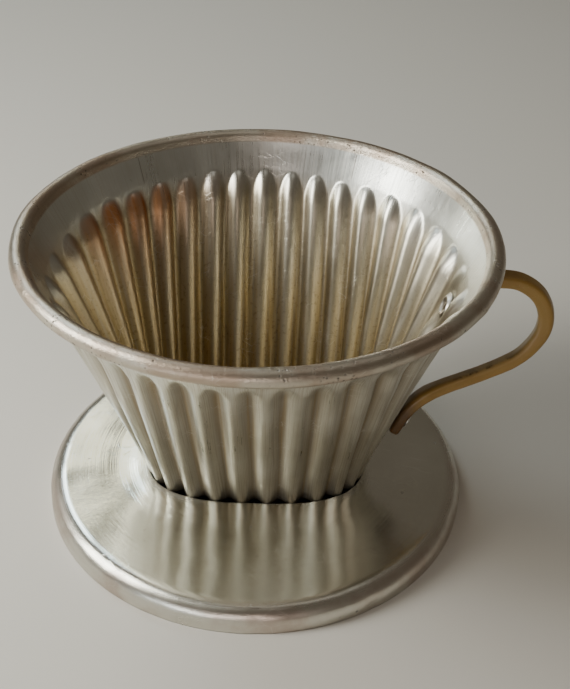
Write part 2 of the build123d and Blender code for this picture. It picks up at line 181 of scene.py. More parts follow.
def make_object(name, verts, faces, material, attrs=None, smooth=True):
    """verts in mm; attrs maps a name to a per-vertex array of 1 or 3 columns."""
    me = bpy.data.meshes.new(name)
    me.from_pydata((np.asarray(verts) * MM).tolist(), [], faces)
    me.validate(clean_customdata=False)
    for key, values in (attrs or {}).items():
        values = np.asarray(values, np.float32)
        if values.ndim == 1:
            a = me.attributes.new(key, "FLOAT", "POINT")
            a.data.foreach_set("value", values)
        else:
            a = me.attributes.new(key, "FLOAT_VECTOR", "POINT")
            a.data.foreach_set("vector", values.ravel())
    me.polygons.foreach_set("use_smooth", [smooth] * len(me.polygons))
    me.materials.append(material)
    me.update()
    ob = bpy.data.objects.new(name, me)
    bpy.context.scene.collection.objects.link(ob)
    return ob


def sheet_mesh(P, half, attrs_mid):
    """Closed sheet either side of the mid surface P (rows, columns, 3)."""
    n = grid_normals(P)
    R, C = P.shape[:2]
    outer, inner = P + n * half, P - n * half
    verts = np.concatenate([outer.reshape(-1, 3), inner.reshape(-1, 3)])
    a = np.arange(R - 1)[:, None] * C + np.arange(C)[None, :]
    b = np.arange(R - 1)[:, None] * C + (np.arange(C)[None, :] + 1) % C
    out_f = np.stack([a, a + C, b + C, b], -1).reshape(-1, 4)
    k = R * C
    in_f = np.stack([a, b, b + C, a + C], -1).reshape(-1, 4) + k
    c0, c1 = np.arange(C), (np.arange(C) + 1) % C
    low = np.stack([c0, c1, c1 + k, c0 + k], -1)
    t = (R - 1) * C
    top = np.stack([t + c0, t + c0 + k, t + c1 + k, t + c1], -1)
    faces = np.concatenate([out_f, in_f, low, top]).tolist()
    attrs = {}
    for key, (vo, vi) in attrs_mid.items():
        sh = (-1,) if vo.ndim == 2 else (-1, 3)
        attrs[key] = np.concatenate([vo.reshape(sh), vi.reshape(sh)])
    return verts, faces, attrs


def hermite_band(r0, z0, r1, z1, way, count):
    span = math.hypot(r1 - r0, z1 - z0)
    f = np.linspace(0, 1, count + 1)[1:-1]
    h = (1 + 2 * f) * (1 - f) ** 2, f * (1 - f) ** 2, f * f * (3 - 2 * f), f * f * (f - 1)
    r = h[0] * r0 + h[1] * 0.43 * span + h[2] * r1 + h[3] * way[0] * span
    z = h[0] * z0 + h[1] * 0.90 * span + h[2] * z1 + h[3] * way[1] * span
    return r, z


# ------------------------------------------------------------------ materials
class Nodes:
    """Small helper for building a node tree in code."""

    def __init__(self, name):
        self.mat = bpy.data.materials.new(name)
        self.mat.use_nodes = True
        self.tree = self.mat.node_tree
        self.bsdf = self.tree.nodes["Principled BSDF"]

    def new(self, kind, inputs=None, **props):
        n = self.tree.nodes.new(kind)
        for k, v in props.items():
            setattr(n, k, v)
        for k, v in (inputs or {}).items():
            if hasattr(v, "is_output"):
                self.tree.links.new(v, n.inputs[k])
            else:
                n.inputs[k].default_value = v
        return n

    def attr(self, name, vector=False):
        n = self.new("ShaderNodeAttribute", attribute_name=name)
        return n.outputs["Vector" if vector else "Fac"]

    def math(self, op, a, b=0.5, c=None, clamp=False):
        n = self.new("ShaderNodeMath", {0: a, 1: b} if c is None else {0: a, 1: b, 2: c}, operation=op)
        n.use_clamp = clamp
        return n.outputs[0]

    def mul(self, a, b):
        return self.math("MULTIPLY", a, b)

    def add(self, a, b):
        return self.math("ADD", a, b)

    def scaled(self, vec, xyz):
        n = self.new("ShaderNodeVectorMath", {0: vec, 1: xyz}, operation="MULTIPLY")
        return n.outputs[0]

    def noise(self, vec, scale, detail=4.0, rough=0.55, distortion=0.0):
        n = self.new("ShaderNodeTexNoise", {"Vector": vec, "Scale": scale, "Detail": detail, "Roughness": rough, "Distortion": distortion})
        return n.outputs["Fac"]

    def ramp(self, fac, stops, smooth=False):
        n = self.new("ShaderNodeValToRGB", {"Fac": fac})
        cr = n.color_ramp
        cr.interpolation = "EASE" if smooth else "LINEAR"
        while len(cr.elements) > 1:
            cr.elements.remove(cr.elements[-1])
        for i, (pos, col) in enumerate(stops):
            el = cr.elements[0] if i == 0 else cr.elements.new(pos)
            el.position = pos
            el.color = (*col, 1) if isinstance(col, tuple) else (col, col, col, 1)
        return n.outputs["Color"]

    def step(self, value, lo, hi):
        n = self.new("ShaderNodeMapRange", {"Value": value, "From Min": lo, "From Max": hi, "To Min": 0.0, "To Max": 1.0}, interpolation_type="SMOOTHSTEP")
        return n.outputs["Result"]

    def mix(self, fac, a, b):
        n = self.tree.nodes.new("ShaderNodeMix")
        n.data_type = "RGBA"
        for sock, v in ((n.inputs[0], fac), (n.inputs[6], a), (n.inputs[7], b)):
            if hasattr(v, "is_output"):
                self.tree.links.new(v, sock)
            elif isinstance(v, tuple):
                sock.default_value = (*v, 1)
            else:
                sock.default_value = v
        return n.outputs[2]

    def bump(self, height, strength, distance, normal=None):
        ins = {"Height": height, "Strength": strength, "Distance": distance}
        if normal is not None:
            ins["Normal"] = normal
        return self.new("ShaderNodeBump", ins).outputs["Normal"]

    def out(self, **sockets):
        for k, v in sockets.items():
            s = self.bsdf.inputs[k.replace("_", " ")]
            if hasattr(v, "is_output"):
                self.tree.links.new(v, s)
            else:
                s.default_value = v
        return self.mat


def cone_material():
    m = Nodes("aged_aluminium_cone")
    pos = m.new("ShaderNodeTexCoord").outputs["Object"]
    flow = m.attr("flow", True)          # on a drum: two across the sheet, one along the flutes, in mm
    stain_and_shade = m.attr("stain_and_shade")              # coffee stain inside the grooves, stronger low down, plus painted shade on the left inside wall
    grime_and_shade = m.attr("grime_and_shade")              # grime plus painted shade in the grooves, mostly outside, and painted shade under the rolled rim
    wear = m.attr("wear")                # the rolled rim
    orange_reflection = m.attr("orange_reflection")                # painted orange reflection on the ends of the ribs inside
    slot_shade_and_coffee = m.attr("slot_shade_and_coffee")                # painted shade where the cone meets the saucer, with some old coffee
    outer = m.attr("outer")
    plain_wall = m.math("SUBTRACT", 1.0, wear)
    blotch = m.noise(pos, 55, 5, 0.6)
    cloud = m.noise(pos, 18, 3, 0.5)
    fine = m.noise(pos, 900, 3, 0.6)
    drawn = m.noise(m.scaled(flow, (1.1, 1.1, 0.035)), 1.0, 2, 0.5)
    drawn2 = m.noise(m.scaled(flow, (3.0, 3.0, 0.07)), 1.0, 2, 0.5)
    streak = m.noise(m.scaled(flow, (0.9, 0.9, 0.035)), 1.0, 3, 0.5)
    # thin crossing scratches
    vs = m.new("ShaderNodeTexVoronoi", {"Vector": m.scaled(pos, (260.0, 900.0, 300.0)), "Scale": 1.0, "Randomness": 1.0}, feature="DISTANCE_TO_EDGE")
    hair = m.math("SUBTRACT", 1.0, m.step(vs.outputs["Distance"], 0.0, 0.035))
    hair = m.mul(hair, m.step(m.noise(pos, 120, 2), 0.52, 0.66))
    # pits and black specks
    vp = m.new("ShaderNodeTexVoronoi", {"Vector": pos, "Scale": 1000.0, "Randomness": 1.0}, feature="F1")
    pit = m.math("SUBTRACT", 1.0, m.step(vp.outputs["Distance"], 0.12, 0.36))
    pit = m.mul(pit, m.step(m.noise(pos, 190, 4, 0.7), 0.49, 0.62))
    pit_fac = m.mul(pit, m.math("MULTIPLY_ADD", wear, 0.80, 0.04))

    clean = m.ramp(blotch, [(0.25, (0.61, 0.59, 0.50)), (0.55, (0.715, 0.70, 0.62)), (0.8, (0.775, 0.77, 0.71))])
    base = m.mix(m.mul(m.step(cloud, 0.45, 0.75), 0.30), clean, (0.57, 0.50, 0.41))
    # the band inside the rim has been wiped: cooler and cleaner than the grooves
    height = m.new("ShaderNodeSeparateXYZ", {0: pos}).outputs["Z"]
    band = m.mul(m.mul(m.step(height, 0.058, 0.067), m.math("SUBTRACT", 1.0, outer)), plain_wall)
    base = m.mix(m.mul(band, 0.75), base, (0.66, 0.695, 0.69))
    # stain colour, which also carries the painted shade on the left inside wall
    gold = m.ramp(streak, [(0.3, (0.27, 0.185, 0.075)), (0.52, (0.43, 0.325, 0.155)), (0.72, (0.58, 0.49, 0.30))])
    sfac = m.math("MULTIPLY", stain_and_shade, m.math("MULTIPLY_ADD", m.step(streak, 0.30, 0.62), 0.45, 0.62), clamp=True)
    base = m.mix(sfac, base, gold)
    line1 = m.noise(m.scaled(flow, (4.5, 4.5, 0.045)), 1.0, 3, 0.6)
    tone = m.mul(m.mul(m.step(line1, 0.46, 0.68), plain_wall), m.math("MULTIPLY_ADD", outer, 0.34, 0.16))
    base = m.mix(tone, base, (0.40, 0.335, 0.235))
    # grime plus painted shade: brown in the grooves and under the rolled rim
    brown = m.ramp(drawn, [(0.3, (0.135, 0.09, 0.045)), (0.7, (0.31, 0.235, 0.13))])
    gfac = m.math("MULTIPLY", grime_and_shade, m.math("MULTIPLY_ADD", m.step(drawn, 0.30, 0.70), 0.30, 0.76), clamp=True)
    base = m.mix(gfac, base, brown)
    # painted reflection: orange on the rib tops inside, at the back left
    base = m.mix(m.mul(orange_reflection, m.math("MULTIPLY_ADD", m.step(streak, 0.35, 0.6), 0.30, 0.62)), base, (0.70, 0.27, 0.065))
    base = m.mix(m.mul(wear, m.math("MULTIPLY_ADD", m.step(blotch, 0.42, 0.60), 0.48, 0.34)), base, (0.405, 0.298, 0.220))
    speck = m.mul(m.step(m.noise(pos, 1100, 3, 0.65), 0.55, 0.66), m.math("MULTIPLY", stain_and_shade, 0.42))
    base = m.mix(speck, base, (0.17, 0.10, 0.045))
    x3 = m.new("ShaderNodeSeparateXYZ", {0: pos})
    high = m.mul(m.step(x3.outputs["Z"], 0.0660, 0.0674), m.math("SUBTRACT", 1.0, m.step(x3.outputs["Z"], 0.0722, 0.0730)))
    for deg, lean in ((129.5, 0.05), (62.0, -0.03)):
        c, sn = math.cos(math.radians(deg)), math.sin(math.radians(deg))
        off = m.new("ShaderNodeVectorMath", {0: pos, 1: (-sn, c, lean)}, operation="DOT_PRODUCT").outputs["Value"]
        off = m.math("ABSOLUTE", m.math("SUBTRACT", off, lean * 0.070), 0.0)
        near = m.new("ShaderNodeVectorMath", {0: pos, 1: (c, sn, 0.0)}, operation="DOT_PRODUCT").outputs["Value"]
        line = m.mul(m.math("SUBTRACT", 1.0, m.step(off, 0.00006, 0.00020)), m.step(near, 0.030, 0.034))
        base = m.mix(m.mul(m.mul(line, high), 0.62), base, (0.16, 0.13, 0.11))
    # painted shade, nearly black, where the cone goes into the saucer
    base = m.mix(slot_shade_and_coffee, base, (0.035, 0.024, 0.016))
    base = m.mix(pit_fac, base, (0.035, 0.026, 0.02))
    base = m.mix(m.mul(hair, 0.35), base, (0.87, 0.85, 0.80))

    rough = m.add(m.mul(m.step(blotch, 0.3, 0.75), 0.10), 0.25)
    rough = m.add(rough, m.mul(wear, 0.06))
    rough = m.add(rough, m.mul(tone, 0.25))
    rough = m.add(rough, m.mul(m.mul(m.step(drawn2, 0.35, 0.65), plain_wall), 0.06))
    rough = m.add(rough, m.mul(sfac, 0.10))
    rough = m.add(rough, m.mul(gfac, 0.16))
    rough = m.math("ADD", rough, m.mul(pit_fac, 0.35), clamp=True)
    metal = m.math("SUBTRACT", 1.0, m.math("MAXIMUM", m.mul(pit_fac, 0.8), m.math("MAXIMUM", m.mul(slot_shade_and_coffee, 0.9), m.mul(gfac, 0.30))))

    n = m.bump(m.mul(drawn2, plain_wall), 0.16, 0.00010)
    n = m.bump(fine, 0.10, 0.00010, n)
    rub = m.noise(pos, 1500, 4, 0.7)
    n = m.bump(rub, m.mul(wear, 0.75), 0.00016, n)
    n = m.bump(blotch, 0.25, 0.00035, n)
    n = m.bump(hair, 0.35, 0.00006, n)
    n = m.bump(m.math("SUBTRACT", 1.0, pit), m.mul(wear, 0.55), 0.00012, n)
    m.bsdf.inputs["Anisotropic"].default_value = 0.0
    return m.out(Base_Color=base, Roughness=rough, Metallic=metal, Normal=n)


def plate_material():
    m = Nodes("aged_aluminium_plate")
    pos = m.new("ShaderNodeTexCoord").outputs["Object"]
    polar = m.attr("polar", True)        # (radius, 45 cos, 45 sin) in mm
    grime_and_shade = m.attr("grime_and_shade")
    wear = m.attr("wear")
    blotch = m.noise(pos, 40, 5, 0.62)
    cloud = m.noise(pos, 14, 3, 0.5)
    brush = m.noise(m.scaled(polar, (5.5, 0.05, 0.05)), 1.0, 4, 0.7)
    brush2 = m.noise(m.scaled(polar, (1.6, 0.025, 0.025)), 1.0, 3, 0.6)
    fine = m.noise(pos, 1100, 2, 0.6)
    vs = m.new("ShaderNodeTexVoronoi", {"Vector": m.scaled(pos, (170.0, 420.0, 300.0)), "Scale": 1.0, "Randomness": 1.0}, feature="DISTANCE_TO_EDGE")
    hair = m.math("SUBTRACT", 1.0, m.step(vs.outputs["Distance"], 0.0, 0.018))
    hair = m.mul(hair, m.step(m.noise(pos, 75, 2), 0.53, 0.66))
    vp = m.new("ShaderNodeTexVoronoi", {"Vector": pos, "Scale": 380.0, "Randomness": 1.0}, feature="F1")
    pit = m.math("SUBTRACT", 1.0, m.step(vp.outputs["Distance"], 0.08, 0.22))
    pit = m.mul(pit, m.step(m.noise(pos, 130, 3, 0.6), 0.60, 0.70))
    pit_fac = m.mul(pit, m.math("MULTIPLY_ADD", wear, 0.45, 0.30))

    clean = m.ramp(blotch, [(0.25, (0.68, 0.695, 0.63)), (0.55, (0.765, 0.785, 0.725)), (0.8, (0.82, 0.84, 0.79))])
    base = m.mix(m.mul(m.step(cloud, 0.42, 0.70), 0.25), clean, (0.65, 0.645, 0.55))
    base = m.mix(m.mul(m.step(brush2, 0.52, 0.72), 0.18), base, (0.56, 0.54, 0.46))
    base = m.mix(m.mul(wear, m.math("MULTIPLY_ADD", m.step(blotch, 0.43, 0.60), 0.45, 0.25)), base, (0.44, 0.335, 0.28))
    # grime plus painted shade: dark at the edge of the opening, under the collar and on the underside
    gfac = m.math("MULTIPLY", grime_and_shade, m.math("MULTIPLY_ADD", m.step(m.noise(pos, 160, 3), 0.38, 0.62), 0.55, 0.50), clamp=True)
    base = m.mix(gfac, base, (0.085, 0.055, 0.033))
    base = m.mix(pit_fac, base, (0.045, 0.035, 0.028))
    base = m.mix(m.mul(hair, 0.30), base, (0.86, 0.85, 0.82))

    rough = m.add(m.mul(m.step(blotch, 0.3, 0.75), 0.07), 0.135)
    rough = m.add(rough, m.mul(wear, 0.13))
    rough = m.add(rough, m.mul(m.step(brush, 0.35, 0.7), 0.05))
    rough = m.add(rough, m.mul(gfac, 0.40))
    rough = m.math("ADD", rough, m.mul(pit_fac, 0.35), clamp=True)
    metal = m.math("SUBTRACT", 1.0, m.math("MAXIMUM", m.mul(pit_fac, 0.8), m.mul(gfac, 0.75)))
    n = m.bump(brush, 0.10, 0.00008)
    n = m.bump(brush2, 0.12, 0.00025, n)
    n = m.bump(fine, 0.06, 0.00008, n)
    n = m.bump(blotch, 0.22, 0.0005, n)
    n = m.bump(hair, 0.30, 0.00005, n)
    n = m.bump(m.noise(pos, 1500, 4, 0.7), m.mul(wear, 0.45), 0.00010, n)
    m.bsdf.inputs["Anisotropic"].default_value = 0.55
    m.tree.links.new(m.new("ShaderNodeTangent", direction_type="RADIAL", axis="Z").outputs[0], m.bsdf.inputs["Tangent"])
    return m.out(Base_Color=base, Roughness=rough, Metallic=metal, Normal=n)


def handle_material():
    m = Nodes("amber_plastic")
    pos = m.new("ShaderNodeTexCoord").outputs["Object"]
    flow = m.attr("flow", True)
    inner = m.attr("inner")              # painted light: the face towards the fingers made lighter, as if lit
    dirt = m.attr("dirt")
    foot_shade = m.attr("foot_shade")
    cloud = m.noise(pos, 60, 4, 0.55)
    fine = m.noise(pos, 700, 3, 0.6)
    grain = m.noise(m.scaled(flow, (1.2, 0.12, 1.2)), 1.0, 4, 0.6)
    vs = m.new("ShaderNodeTexVoronoi", {"Vector": m.scaled(flow, (1.6, 0.35, 1.6)), "Scale": 1.0, "Randomness": 1.0}, feature="DISTANCE_TO_EDGE")
    hair = m.math("SUBTRACT", 1.0, m.step(vs.outputs["Distance"], 0.0, 0.02))
    hair = m.mul(hair, m.step(m.noise(pos, 140, 2), 0.5, 0.62))
    # amber plastic colour, made darker than the plastic is: painted shade
    amber_darkened_for_shade = m.ramp(cloud, [(0.25, (0.270, 0.158, 0.036)), (0.5, (0.340, 0.208, 0.052)), (0.78, (0.400, 0.258, 0.075))])
    base = m.mix(m.mul(m.step(grain, 0.45, 0.75), 0.28), amber_darkened_for_shade, (0.42, 0.285, 0.095))
    # painted light: the inner face made lighter
    base = m.mix(m.mul(inner, 0.45), base, (0.45, 0.365, 0.205))
    base = m.mix(m.mul(hair, 0.25), base, (0.56, 0.43, 0.235))
    # painted shade: the foot against the cone wall made nearly black
    base = m.mix(m.mul(foot_shade, 0.90), base, (0.075, 0.034, 0.011))
    dfac = m.math("MULTIPLY", dirt, m.step(m.noise(m.scaled(flow, (0.3, 0.45, 0.3)), 1.0, 3), 0.42, 0.60), clamp=True)
    base = m.mix(dfac, base, (0.045, 0.025, 0.012))
    rough = m.add(m.mul(m.step(cloud, 0.3, 0.75), 0.14), 0.30)
    rough = m.math("ADD", rough, m.mul(dfac, 0.35), clamp=True)
    n = m.bump(grain, 0.22, 0.00018)
    n = m.bump(fine, 0.12, 0.00006, n)
    n = m.bump(hair, 0.30, 0.00004, n)
    m.bsdf.inputs["Subsurface Weight"].default_value = 0.22
    m.bsdf.inputs["Subsurface Radius"].default_value = (0.0035, 0.0018, 0.0006)
    m.bsdf.inputs["Subsurface Scale"].default_value = 1.0
    m.bsdf.inputs["IOR"].default_value = 1.50
    return m.out(Base_Color=base, Roughness=rough, Normal=n)


def rivet_material():
    m = Nodes("rivet_aluminium")
    pos = m.new("ShaderNodeTexCoord").outputs["Object"]
    blotch = m.noise(pos, 300, 4, 0.6)
    fine = m.noise(pos, 1500, 3, 0.6)
    base = m.ramp(blotch, [(0.3, (0.40, 0.36, 0.31)), (0.55, (0.66, 0.64, 0.60)), (0.8, (0.76, 0.745, 0.71))])
    rough = m.add(m.mul(m.step(blotch, 0.3, 0.7), 0.16), 0.24)
    n = m.bump(blotch, 0.4, 0.00012)
    n = m.bump(fine, 0.15, 0.00005, n)
    return m.out(Base_Color=base, Roughness=rough, Metallic=1.0, Normal=n)


def floor_material():
    m = Nodes("floor_plain")
    m.bsdf.inputs["Base Color"].default_value = (0.74, 0.72, 0.67, 1)
    m.bsdf.inputs["Roughness"].default_value = 0.9
    m.bsdf.inputs["Specular IOR Level"].default_value = 0.2
    return m.mat


CONE = cone_material()
PLATE = plate_material()
HANDLE = handle_material()
RIVET = rivet_material()

# ---------------------------------------------------------------- filter cone
PER = 14
C = FLUTES * PER
half = SHEET / 2
u = np.arange(C) / PER
z_low = np.concatenate([[2.0, 4.0, 5.6, 6.4, 6.8, 7.1, 7.4, 7.8, 8.4, 9.3, 10.6, 12.3], np.linspace(14.3, 58.0, 21)])
z_top = np.linspace(58.0, TOP_Z, 20)[1:]
zw = np.concatenate([z_low, z_top])[:, None]
U = np.broadcast_to(u, (len(zw), C))
Zw = np.broadcast_to(zw, U.shape)
depth, wave, rise = flute_depth(U, Zw)
cx, cy = crest(U, Zw)
nx, ny = outward(U, Zw)
d_in = depth + half
wall = np.stack([cx - d_in * nx, cy - d_in * ny, Zw], -1)

# smooth band and rolled rim, in mid-surface radii
r_bead = BEAD_R - half
start = math.radians(158.0)
r1, z1 = BEAD_RC + r_bead * math.cos(start), BEAD_Z + r_bead * math.sin(start)
way = (math.sin(start), -math.cos(start))
rb, zb = hermite_band(TOP_R - half, TOP_Z, r1, z1, way, 17)
ang = start - np.radians(np.linspace(0, 285, 31))
rr = np.concatenate([rb, BEAD_RC + r_bead * np.cos(ang)])
zz = np.concatenate([zb, BEAD_Z + r_bead * np.sin(ang)])
tx, ty = crest(u, TOP_Z)
az = np.arctan2(ty, tx)
Zr = np.broadcast_to(zz[:, None], (len(rr), C))
depth_r, wave_r, rise_r = flute_depth(np.broadcast_to(u, Zr.shape), Zr)
tail = (np.arange(len(rr)) < len(rb)) & (zz < 69)
depth_r, wave_r, rise_r = depth_r * tail[:, None], wave_r * tail[:, None], rise_r * tail[:, None]
in_r = rr[:, None] - depth_r
rim = np.stack([in_r * np.cos(az), in_r * np.sin(az), Zr], -1)
P = np.concatenate([wall, rim])
X, Y, Z = P[..., 0], P[..., 1], P[..., 2]

# hand wear: gentle waviness, knocks on the rim, a few dings on the wall
nrm = grid_normals(P)
push = 0.06 * lumps(X, Y, Z, 3, 26) + 0.025 * lumps(X, Y, Z, 4, 9)
push *= np.clip((Z - 4) / 12, 0, 1)
r2 = np.random.default_rng(5)
for _ in range(20):
    a, dz = r2.uniform(-math.pi, math.pi), r2.uniform(-1.6, 1.8)
    side_r = BEAD_RC + math.sqrt(max(0.0, 4 - dz * dz)) * r2.choice([1, 1, 1, -1])
    c = np.array([side_r * math.cos(a), side_r * math.sin(a), BEAD_Z + dz])
    size, deep = r2.uniform(0.7, 2.2), r2.uniform(0.03, 0.12)
    push -= deep * np.exp(-((X - c[0]) ** 2 + (Y - c[1]) ** 2 + (Z - c[2]) ** 2) / size**2)
for a, dz, size, deep in ((-128, 0.9, 2.0, 0.16), (-122, -0.3, 1.6, 0.14), (-62, 0.6, 1.8, 0.12), (-30, -0.6, 1.8, 0.12), (-96, -1.2, 1.6, 0.12)):
    a = math.radians(a)
    c = np.array([(BEAD_RC + 1.2) * math.cos(a), (BEAD_RC + 1.2) * math.sin(a), BEAD_Z + dz])
    push -= deep * np.exp(-((X - c[0]) ** 2 + (Y - c[1]) ** 2 + (Z - c[2]) ** 2) / size**2)
# the ring that the rivet's setting has left in the wall round the upper rivet
px, py, pz = PADS[0]
dist = np.sqrt((X - px) ** 2 + (Y - py) ** 2 + (Z - pz) ** 2)
push += 0.10 * np.exp(-(((dist - 4.5) / 0.9) ** 2)) - 0.10 * np.exp(-((dist / 3.2) ** 4))
px, py, pz = PADS[1]
dist = np.sqrt((X - px) ** 2 + (Y - py) ** 2 + (Z - pz) ** 2)
push += 0.10 * np.exp(-(((dist - 4.4) / 0.9) ** 2)) - 0.10 * np.exp(-((dist / 3.2) ** 4))
P = P + nrm * push[..., None]

rows_w = len(zw)
R = P.shape[0]
step_len = np.linalg.norm(np.diff(P, axis=0), axis=2).mean(1)
along = np.concatenate([[0], np.cumsum(step_len)])
wave_all = np.concatenate([wave * rise, wave_r * rise_r])
groove_in = np.concatenate([(1 - wave) * np.clip(rise, 0, 1), (tail[:, None] - wave_r) * rise_r])
zc = P[..., 2]
low = np.clip((66 - zc) / 55, 0, 1)
theta = np.arctan2(P[..., 1], P[..., 0])
# painted shade: more stain colour on the left inside wall, which faces away from the window light
left = 0.5 - 0.5 * np.cos(theta - 0.35)
stain_and_shade_in = 0.10 + 0.75 * groove_in * (0.30 + 0.70 * low) + 0.62 * low**1.1 + 0.30 * left * np.clip((66 - zc) / 4, 0, 1)
stain_and_shade_in = np.clip(stain_and_shade_in, 0, 1) * np.clip((67.2 - zc) / 5, 0, 1)
# painted reflection: orange on the rib tops near the rim at the back left
orange_reflection_in = np.exp(-(((theta - 2.42) / 0.40) ** 2)) * np.clip((66.5 - zc) / 1.5, 0, 1) * np.exp(-np.clip(62 - zc, 0, 99) / 9.0)
orange_reflection_in = orange_reflection_in * np.clip(2.4 * wave_all - 0.1, 0, 1)
stain_out = np.clip(0.12 * low, 0, 1)
# grime plus painted shade in the outside valleys
grime_and_shade_out = np.clip(wave_all * 1.15 - 0.10, 0, 1) ** 1.35 * (0.80 + 0.16 * np.clip((zc - 2) / 60, 0, 1))
# painted shade where the cone goes into the saucer: the valleys just above the opening and the whole wall below it,
# with some old coffee
near_slot = np.clip((8.9 - zc) / 1.4, 0, 1)
slot_shade_and_coffee_out = near_slot * np.clip(wave_all * 1.7 - 0.75, 0, 1) * 0.9
slot_shade_and_coffee_out = np.maximum(slot_shade_and_coffee_out, np.clip((6.9 - zc) / 0.5, 0, 1) * 0.95)
# grime plus painted shade deep in the inside grooves
grime_and_shade_in = 0.42 * groove_in**3 * (0.25 + 0.75 * low)
# painted shade on the underside of the rolled rim
rim_underside_shade = np.zeros(R)
rim_underside_shade[rows_w + len(rb):] = np.exp(-(((ang + math.radians(70)) / math.radians(42)) ** 2))
grime_and_shade_out = np.maximum(grime_and_shade_out, (0.75 * rim_underside_shade)[:, None])
wear = np.zeros((R, C))
wear[rows_w + len(rb) - 2:] = 1.0
turn = TAU * u / FLUTES
flow = np.stack([np.broadcast_to(42.4 * np.cos(turn), (R, C)), np.broadcast_to(42.4 * np.sin(turn), (R, C)), np.broadcast_to(along[:, None], (R, C))], -1)
flow_in = flow + np.array([400.0, 0.0, 90.0])
verts, faces, attrs = sheet_mesh(P, half, {
    "stain_and_shade": (stain_out, stain_and_shade_in),
    "grime_and_shade": (grime_and_shade_out, grime_and_shade_in),
    "wear": (wear, wear),
    "orange_reflection": (np.zeros((R, C)), orange_reflection_in),
    "slot_shade_and_coffee": (slot_shade_and_coffee_out, np.zeros((R, C))),
    "outer": (np.ones((R, C)), np.zeros((R, C))),
    "flow": (flow, flow_in),
})
cone = make_object("filter_cone_shell", verts, faces, CONE, attrs)


# floor of the cone with the fold that holds the saucer
def oval(grow, z, n=288):
    uu = np.arange(n) * FLUTES / n
    ax, ay = crest(uu - 0.3, z)
    bx, by = crest(uu + 0.3, z)
    tx, ty = bx - ax, by - ay
    ln = np.hypot(tx, ty)
    x, y = crest(uu, z)
    return x + grow * -ty / ln, y + grow * tx / ln


def ring_faces(rows, cols, flip=False):
    a = np.arange(rows - 1)[:, None] * cols + np.arange(cols)[None, :]
    b = np.arange(rows - 1)[:, None] * cols + (np.arange(cols)[None, :] + 1) % cols
    f = np.stack([a, a + cols, b + cols, b], -1) if not flip else np.stack([a, b, b + cols, a + cols], -1)
    return f.reshape(-1, 4).tolist()


def drained_floor():
    fold = [(-1.2, FLANGE_Z0 + 0.0), (0.4, FLANGE_Z0), (FLANGE_OUT - 0.5, FLANGE_Z0)]
    for k in range(9):
        a = math.radians(-90 + 180 * k / 8)
        fold.append((FLANGE_OUT - 0.5 + 0.5 * math.cos(a), 2.25 + 0.95 * math.sin(a)))
    fold += [(0.4, 3.2), (-0.5, 3.2), (-0.9, 2.9), (-0.95, 2.3)]
    rows = []
    n = 288
    for g, z in fold:
        x, y = oval(g, 3.2, n)
        rows.append(np.stack([x, y, np.full(n, z)], -1))
    verts = np.concatenate(rows)
    faces = ring_faces(len(rows), n)
    me = bpy.data.meshes.new("floor_fold")
    me.from_pydata((verts * MM).tolist(), [], faces)
    import bmesh
    bm = bmesh.new()
    bm.from_mesh(me)
    bm.verts.ensure_lookup_table()
    holes = {}
    for level, first in ((FLANGE_Z0, 0), (2.3, (len(rows) - 1) * n)):
        edges = []
        for k in range(n):
            va, vb = bm.verts[first + k], bm.verts[first + (k + 1) % n]
            edges.append(bm.edges.get((va, vb)))
        rings = []
        for hx in (-13.5, -4.5, 4.5, 13.5):
            ring = [bm.verts.new(((hx + 1.5 * math.cos(TAU * j / 28)) * MM, 1.5 * math.sin(TAU * j / 28) * MM, level * MM)) for j in range(28)]
            for j in range(28):
                edges.append(bm.edges.new((ring[j], ring[(j + 1) % 28])))
            rings.append(ring)
        holes[level] = rings
        bmesh.ops.triangle_fill(bm, edges=edges, use_beauty=True, use_dissolve=False)
        bm.verts.ensure_lookup_table()
    for ra, rb_ in zip(holes[FLANGE_Z0], holes[2.3]):
        for j in range(28):
            bm.faces.new((ra[j], ra[(j + 1) % 28], rb_[(j + 1) % 28], rb_[j]))
    bmesh.ops.recalc_face_normals(bm, faces=bm.faces)
    bm.to_mesh(me)
    bm.free()
    n_v = len(me.vertices)
    co = np.zeros(n_v * 3)
    me.vertices.foreach_get("co", co)
    co = co.reshape(-1, 3) / MM
    for key, values in (("stain_and_shade", np.where(co[:, 2] > 2.1, 0.9, 0.25)), ("grime_and_shade", np.full(n_v, 0.15)), ("wear", np.zeros(n_v)), ("orange_reflection", np.zeros(n_v)), ("slot_shade_and_coffee", np.zeros(n_v)), ("outer", np.zeros(n_v))):
        a = me.attributes.new(key, "FLOAT", "POINT")
        a.data.foreach_set("value", values.astype(np.float32))
    a = me.attributes.new("flow", "FLOAT_VECTOR", "POINT")
    a.data.foreach_set("vector", (co * [1, 1, 0] + [700, 0, 0]).astype(np.float32).ravel())
    me.materials.append(CONE)
    ob = bpy.data.objects.new("filter_cone_floor", me)
    bpy.context.scene.collection.objects.link(ob)
    return ob


cone_floor = drained_floor()

# ----------------------------------------------------------------- base plate
NP = 432
up = np.arange(NP) * FLUTES / NP


def plate_oval(grow, z):
    return oval(grow, z, NP)


ring_a = TAU * np.arange(NP) / NP
circle = np.stack([np.sin(ring_a), np.cos(ring_a)], -1)
rows, thick = [], []


def circle_row(r, z):
    rows.append(np.stack([circle[:, 0] * r, circle[:, 1] * r, np.full(NP, z)], -1))
    thick.append(half)


